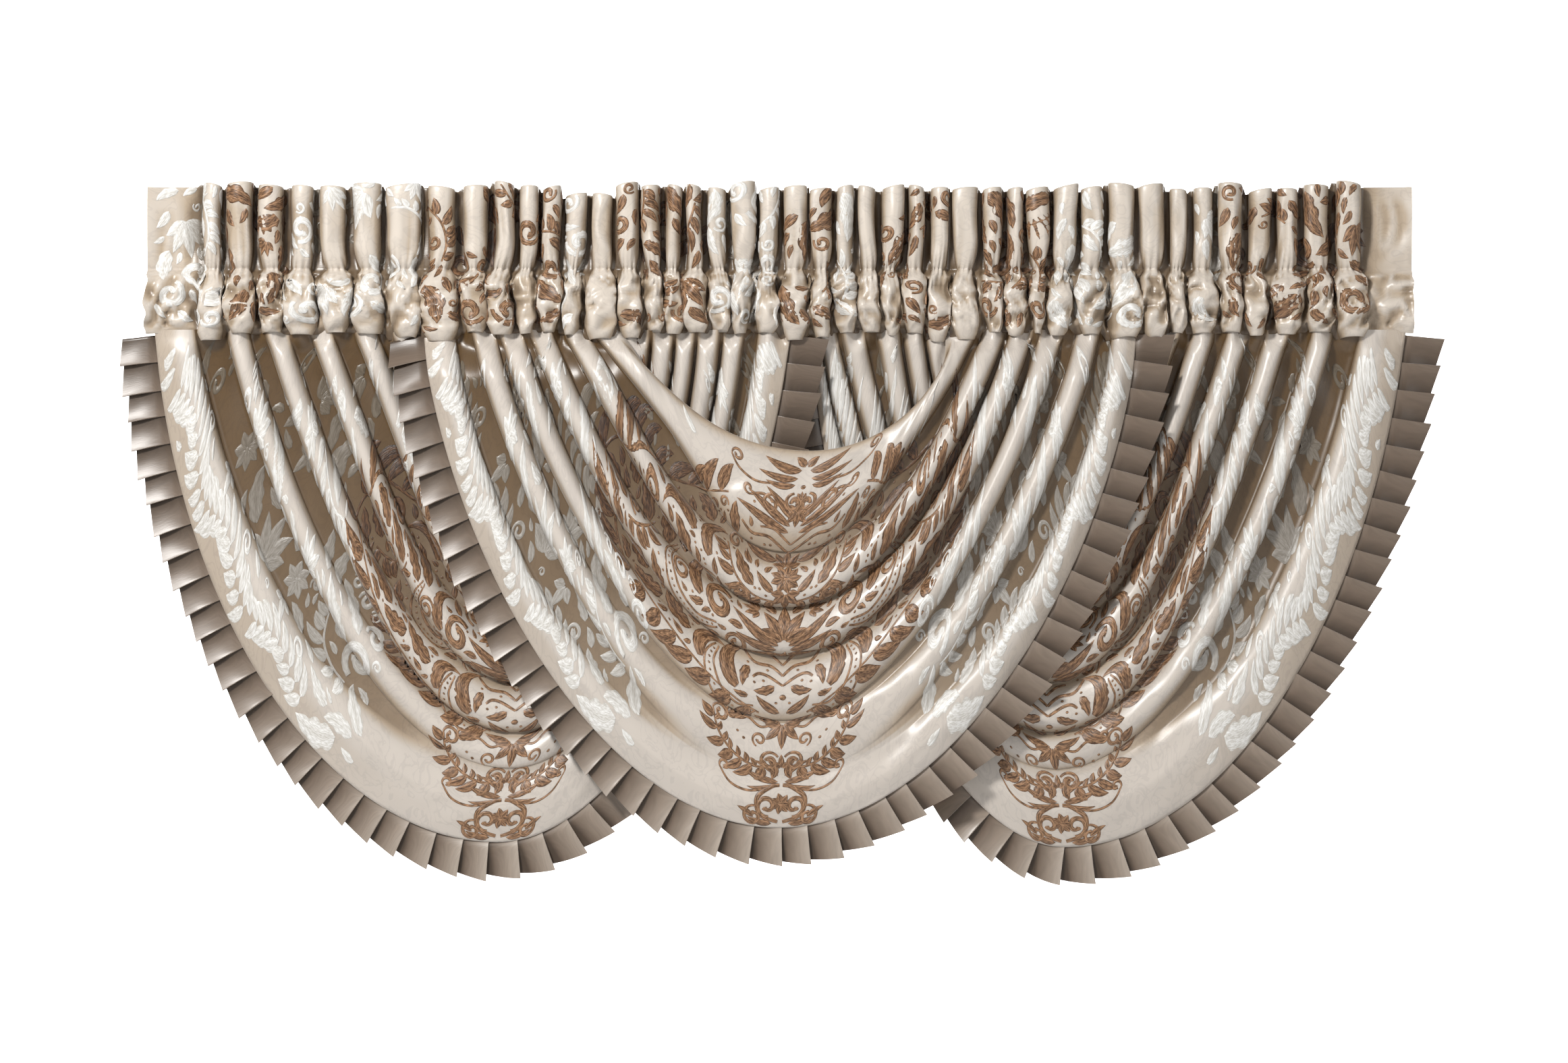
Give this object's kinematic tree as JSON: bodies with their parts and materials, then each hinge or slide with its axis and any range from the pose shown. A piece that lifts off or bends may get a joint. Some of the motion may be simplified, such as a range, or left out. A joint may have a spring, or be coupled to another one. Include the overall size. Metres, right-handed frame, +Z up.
{
  "type": "triple swag valance",
  "caption": "Gathered rod-pocket valance of overlapping draped swags in damask, with open necks and knife-pleated satin trim on each curved hem.",
  "frame": {"origin": "middle of the heading's top edge, in the plane of the curtain rod's axis", "axes": "+Z up, front faces -Y, +X to the viewer's right along the rod"},
  "size_m": [1.5743, 0.0762, 0.8433],
  "materials": {
    "body_left": "champagne damask satin",
    "body_centre": "champagne damask satin",
    "body_right": "champagne damask satin",
    "heading_left_outer": "gathered damask satin",
    "heading_centre_left": "gathered damask satin",
    "heading_left_inner": "gathered damask satin",
    "heading_right_inner": "gathered damask satin",
    "heading_centre_right": "gathered damask satin",
    "heading_right_outer": "gathered damask satin",
    "trim_left": "plain taupe satin",
    "trim_centre": "plain taupe satin",
    "trim_right": "plain taupe satin"
  },
  "bodies": {
    "root": {"body_left": "body_left", "body_centre": "body_centre", "body_right": "body_right", "heading_left_outer": "heading_left_outer", "heading_centre_left": "heading_centre_left", "heading_left_inner": "heading_left_inner", "heading_right_inner": "heading_right_inner", "heading_centre_right": "heading_centre_right", "heading_right_outer": "heading_right_outer", "trim_left": "trim_left", "trim_centre": "trim_centre", "trim_right": "trim_right"}
  },
  "joints": []
}
